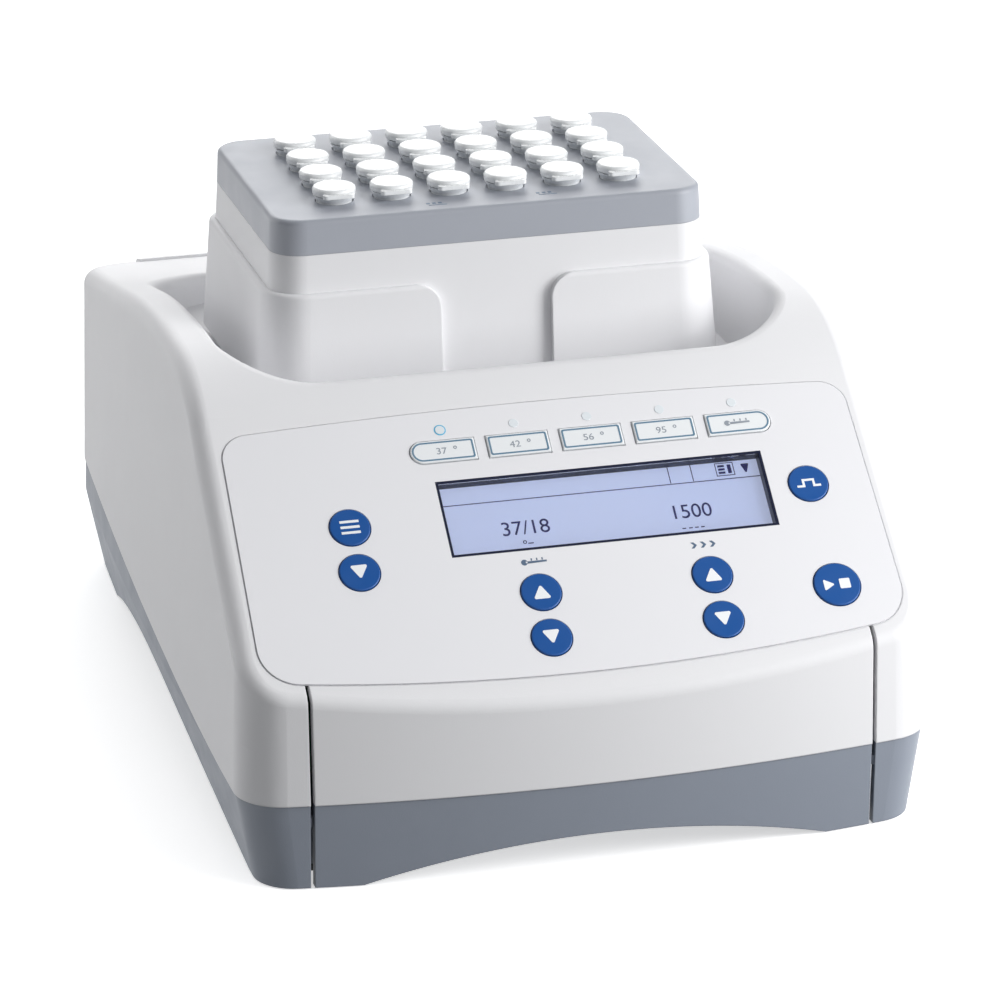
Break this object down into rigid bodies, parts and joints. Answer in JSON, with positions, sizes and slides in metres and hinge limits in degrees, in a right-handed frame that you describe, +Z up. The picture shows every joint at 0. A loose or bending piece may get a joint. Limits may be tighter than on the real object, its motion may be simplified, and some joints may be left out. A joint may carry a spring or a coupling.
{
  "type": "thermal mixer",
  "caption": "Benchtop thermal mixer with a sloping keypad and display, and a heated tube block that orbits in a well on an eccentric drive.",
  "frame": {"origin": "on the bench under the middle of the housing's box", "axes": "+Z up, the control panel faces -Y, +X to the right as seen from the front"},
  "size_m": [0.2058, 0.304, 0.1677],
  "materials": {
    "housing_white": "fine satin",
    "base_grey": "satin",
    "foil_white": "satin film",
    "bezel_navy": "satin",
    "clear_window": "clear",
    "lcd_face": "backlit",
    "light_pipe": "translucent",
    "board_green": "solder mask",
    "supply_dark": "satin",
    "black_plastic": "satin",
    "rocker_black": "glossy",
    "cast_plate": "machined",
    "bearing_steel": "ground",
    "motor_metal": "powder coat",
    "brass": "turned",
    "aluminium": "anodised",
    "silicone_orange": "matt",
    "screw_steel": "zinc",
    "cap_grey": "satin",
    "foot_rubber": "matt",
    "key_blue": "satin",
    "preset_white": "satin",
    "tube_plastic": "translucent",
    "lid_white": "translucent",
    "ink_white": "printed mark",
    "ink_grey": "printed mark",
    "ink_slate": "printed mark",
    "ink_outline": "printed outline",
    "ink_led": "printed ring",
    "lcd_figure": "display figure"
  },
  "bodies": {
    "housing": {"upper_housing": "housing_white", "front_panel": "housing_white", "rear_panel": "housing_white", "lower_housing": "base_grey", "front_skirt": "base_grey", "keypad_foil": "foil_white", "display_bezel": "bezel_navy", "display_window": "clear_window", "lcd_module": "lcd_face", "led_light_pipes": "light_pipe", "keypad_board": "board_green", "main_board": "board_green", "power_supply": "supply_dark", "inlet_socket": "black_plastic", "fan_frame": "black_plastic", "base_plate": "cast_plate", "base_bearings": "bearing_steel", "drive_motor": "motor_metal", "plate_screws": "screw_steel", "housing_screws": "screw_steel", "rubber_feet": "foot_rubber"},
    "platform": {"mixing_platform": "aluminium", "platform_bearings": "bearing_steel", "heating_mat": "silicone_orange", "tube_block": "aluminium", "temperature_sensor": "bearing_steel", "block_screws": "screw_steel", "block_cap": "cap_grey", "block_skirt": "housing_white", "block_collar": "housing_white"},
    "crank": {"drive_eccentric": "bearing_steel", "counterweight": "brass"},
    "idler_1": {"idler_eccentric_1": "bearing_steel"},
    "idler_2": {"idler_eccentric_2": "bearing_steel"},
    "idler_3": {"idler_eccentric_3": "bearing_steel"},
    "idler_4": {"idler_eccentric_4": "bearing_steel"},
    "fan": {"fan_rotor": "black_plastic"},
    "rocker": {"power_rocker": "rocker_black"},
    "fuse": {"fuse_drawer": "black_plastic"},
    "tubes_a": {"tube_row_a": "tube_plastic"},
    "lids_a": {"tube_lids_a": "lid_white"},
    "tubes_b": {"tube_row_b": "tube_plastic"},
    "lids_b": {"tube_lids_b": "lid_white"},
    "tubes_c": {"tube_row_c": "tube_plastic"},
    "lids_c": {"tube_lids_c": "lid_white"},
    "tubes_d": {"tube_row_d": "tube_plastic"},
    "lids_d": {"tube_lids_d": "lid_white"},
    "menu_key_body": {"menu_key": "key_blue"},
    "menu_down_key_body": {"menu_down_key": "key_blue"},
    "temp_up_key_body": {"temp_up_key": "key_blue"},
    "temp_down_key_body": {"temp_down_key": "key_blue"},
    "speed_up_key_body": {"speed_up_key": "key_blue"},
    "speed_down_key_body": {"speed_down_key": "key_blue"},
    "short_key_body": {"short_key": "key_blue"},
    "start_stop_key_body": {"start_stop_key": "key_blue"},
    "preset_key_1_body": {"preset_key_1": "preset_white"},
    "preset_key_2_body": {"preset_key_2": "preset_white"},
    "preset_key_3_body": {"preset_key_3": "preset_white"},
    "preset_key_4_body": {"preset_key_4": "preset_white"},
    "preset_key_5_body": {"preset_key_5": "preset_white"}
  },
  "joints": [
    {"name": "crank_spin", "type": "hinge", "parent": "housing", "child": "crank", "pos_m": [-0.0015, 0.011, 0.05], "axis": [0, 0, 1], "continuous": true},
    {"name": "platform_turn", "type": "hinge", "parent": "crank", "child": "platform", "pos_m": [0, 0.011, 0.0735], "axis": [0, 0, 1], "continuous": true},
    {"name": "idler_1_spin", "type": "hinge", "parent": "housing", "child": "idler_1", "pos_m": [-0.0575, -0.025, 0.05], "axis": [0, 0, 1], "continuous": true},
    {"name": "idler_2_spin", "type": "hinge", "parent": "housing", "child": "idler_2", "pos_m": [-0.0575, 0.047, 0.05], "axis": [0, 0, 1], "continuous": true},
    {"name": "idler_3_spin", "type": "hinge", "parent": "housing", "child": "idler_3", "pos_m": [0.0545, -0.025, 0.05], "axis": [0, 0, 1], "continuous": true},
    {"name": "idler_4_spin", "type": "hinge", "parent": "housing", "child": "idler_4", "pos_m": [0.0545, 0.047, 0.05], "axis": [0, 0, 1], "continuous": true},
    {"name": "fan_spin", "type": "hinge", "parent": "housing", "child": "fan", "pos_m": [-0.034, 0.137, 0.065], "axis": [0, 1, 0], "continuous": true},
    {"name": "power_rocker_tilt", "type": "hinge", "parent": "housing", "child": "rocker", "pos_m": [0.042, 0.145, 0.0786], "axis": [0, 0, 1], "range_deg": [-20, 0]},
    {"name": "fuse_drawer_slide", "type": "slide", "parent": "housing", "child": "fuse", "axis": [0, 1, 0], "range_m": [0, 0.012]},
    {"name": "tube_row_a_lift", "type": "slide", "parent": "platform", "child": "tubes_a", "axis": [0, 0, 1], "range_m": [0, 0.045]},
    {"name": "tube_lids_a_open", "type": "hinge", "parent": "tubes_a", "child": "lids_a", "pos_m": [0, -0.00725, 0.1659], "axis": [-1, 0, 0], "range_deg": [0, 80]},
    {"name": "tube_row_b_lift", "type": "slide", "parent": "platform", "child": "tubes_b", "axis": [0, 0, 1], "range_m": [0, 0.045]},
    {"name": "tube_lids_b_open", "type": "hinge", "parent": "tubes_b", "child": "lids_b", "pos_m": [0, 0.01025, 0.1659], "axis": [-1, 0, 0], "range_deg": [0, 80]},
    {"name": "tube_row_c_lift", "type": "slide", "parent": "platform", "child": "tubes_c", "axis": [0, 0, 1], "range_m": [0, 0.045]},
    {"name": "tube_lids_c_open", "type": "hinge", "parent": "tubes_c", "child": "lids_c", "pos_m": [0, 0.02775, 0.1659], "axis": [-1, 0, 0], "range_deg": [0, 80]},
    {"name": "tube_row_d_lift", "type": "slide", "parent": "platform", "child": "tubes_d", "axis": [0, 0, 1], "range_m": [0, 0.045]},
    {"name": "tube_lids_d_open", "type": "hinge", "parent": "tubes_d", "child": "lids_d", "pos_m": [0, 0.04525, 0.1659], "axis": [-1, 0, 0], "range_deg": [0, 80]},
    {"name": "menu_key_press", "type": "slide", "parent": "housing", "child": "menu_key_body", "axis": [0, 0.6455, -0.7638], "range_m": [0, 0.0004], "stiffness_N_per_m": 1500, "springref_m": -0.0004},
    {"name": "menu_down_key_press", "type": "slide", "parent": "housing", "child": "menu_down_key_body", "axis": [0, 0.6455, -0.7638], "range_m": [0, 0.0004], "stiffness_N_per_m": 1500, "springref_m": -0.0004},
    {"name": "temp_up_key_press", "type": "slide", "parent": "housing", "child": "temp_up_key_body", "axis": [0, 0.6455, -0.7638], "range_m": [0, 0.0004], "stiffness_N_per_m": 1500, "springref_m": -0.0004},
    {"name": "temp_down_key_press", "type": "slide", "parent": "housing", "child": "temp_down_key_body", "axis": [0, 0.6455, -0.7638], "range_m": [0, 0.0004], "stiffness_N_per_m": 1500, "springref_m": -0.0004},
    {"name": "speed_up_key_press", "type": "slide", "parent": "housing", "child": "speed_up_key_body", "axis": [0, 0.6455, -0.7638], "range_m": [0, 0.0004], "stiffness_N_per_m": 1500, "springref_m": -0.0004},
    {"name": "speed_down_key_press", "type": "slide", "parent": "housing", "child": "speed_down_key_body", "axis": [0, 0.6455, -0.7638], "range_m": [0, 0.0004], "stiffness_N_per_m": 1500, "springref_m": -0.0004},
    {"name": "short_key_press", "type": "slide", "parent": "housing", "child": "short_key_body", "axis": [0, 0.6455, -0.7638], "range_m": [0, 0.0004], "stiffness_N_per_m": 1500, "springref_m": -0.0004},
    {"name": "start_stop_key_press", "type": "slide", "parent": "housing", "child": "start_stop_key_body", "axis": [0, 0.6455, -0.7638], "range_m": [0, 0.0004], "stiffness_N_per_m": 1500, "springref_m": -0.0004},
    {"name": "preset_key_1_press", "type": "slide", "parent": "housing", "child": "preset_key_1_body", "axis": [0, 0.6455, -0.7638], "range_m": [0, 0.0004], "stiffness_N_per_m": 1500, "springref_m": -0.0004},
    {"name": "preset_key_2_press", "type": "slide", "parent": "housing", "child": "preset_key_2_body", "axis": [0, 0.6455, -0.7638], "range_m": [0, 0.0004], "stiffness_N_per_m": 1500, "springref_m": -0.0004},
    {"name": "preset_key_3_press", "type": "slide", "parent": "housing", "child": "preset_key_3_body", "axis": [0, 0.6455, -0.7638], "range_m": [0, 0.0004], "stiffness_N_per_m": 1500, "springref_m": -0.0004},
    {"name": "preset_key_4_press", "type": "slide", "parent": "housing", "child": "preset_key_4_body", "axis": [0, 0.6455, -0.7638], "range_m": [0, 0.0004], "stiffness_N_per_m": 1500, "springref_m": -0.0004},
    {"name": "preset_key_5_press", "type": "slide", "parent": "housing", "child": "preset_key_5_body", "axis": [0, 0.6455, -0.7638], "range_m": [0, 0.0004], "stiffness_N_per_m": 1500, "springref_m": -0.0004}
  ],
  "couplings": [
    {"joint": "crank_spin", "follows": "platform_turn", "ratio": -1},
    {"joint": "idler_1_spin", "follows": "platform_turn", "ratio": -1},
    {"joint": "idler_2_spin", "follows": "platform_turn", "ratio": -1},
    {"joint": "idler_3_spin", "follows": "platform_turn", "ratio": -1},
    {"joint": "idler_4_spin", "follows": "platform_turn", "ratio": -1}
  ]
}
